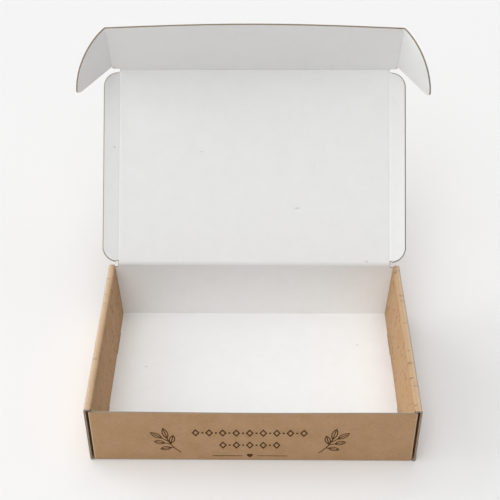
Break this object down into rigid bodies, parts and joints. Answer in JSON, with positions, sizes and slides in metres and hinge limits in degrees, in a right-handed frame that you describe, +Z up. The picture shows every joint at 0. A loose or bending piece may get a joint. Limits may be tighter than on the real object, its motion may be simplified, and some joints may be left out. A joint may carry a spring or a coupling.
{
  "type": "mailer box",
  "caption": "Corrugated mailer box with rolled-over sides and a hinged lid, whose tuck-in front flap has folding ears and whose sides have dust flaps.",
  "frame": {"origin": "middle of the underside of the tray's floor, which stands on the ground", "axes": "+X to the right seen from the front, +Y from the front wall to the hinged back wall, +Z up"},
  "size_m": [0.3579, 0.332, 0.2857],
  "materials": {
    "board": "matte"
  },
  "bodies": {
    "tray": {"tray": "board"},
    "lid_panel": {"lid_panel": "board"},
    "front_flap": {"front_flap": "board"},
    "left_ear": {"left_ear": "board"},
    "right_ear": {"right_ear": "board"},
    "left_side_flap": {"left_side_flap": "board"},
    "right_side_flap": {"right_side_flap": "board"}
  },
  "joints": [
    {"name": "lid_hinge", "type": "hinge", "parent": "tray", "child": "lid_panel", "pos_m": [0, 0.09925, 0.07055], "axis": [-1, 0, 0], "range_deg": [-131, 49]},
    {"name": "front_flap_fold", "type": "hinge", "parent": "lid_panel", "child": "front_flap", "pos_m": [0, 0.23125, 0.2224], "axis": [-1, 0, 0], "range_deg": [-28, 62]},
    {"name": "left_ear_fold", "type": "hinge", "parent": "front_flap", "child": "left_ear", "pos_m": [-0.1475, 0.23125, 0.2224], "axis": [0, 0.3584, -0.9336], "range_deg": [-40, 50]},
    {"name": "right_ear_fold", "type": "hinge", "parent": "front_flap", "child": "right_ear", "pos_m": [0.1475, 0.23125, 0.2224], "axis": [0, -0.3584, 0.9336], "range_deg": [-36, 54]},
    {"name": "left_side_flap_fold", "type": "hinge", "parent": "lid_panel", "child": "left_side_flap", "pos_m": [-0.1395, 0.09925, 0.07055], "axis": [0, -0.6561, -0.7547], "range_deg": [-82, 8]},
    {"name": "right_side_flap_fold", "type": "hinge", "parent": "lid_panel", "child": "right_side_flap", "pos_m": [0.1395, 0.09925, 0.07055], "axis": [0, 0.6561, 0.7547], "range_deg": [-82, 8]}
  ]
}
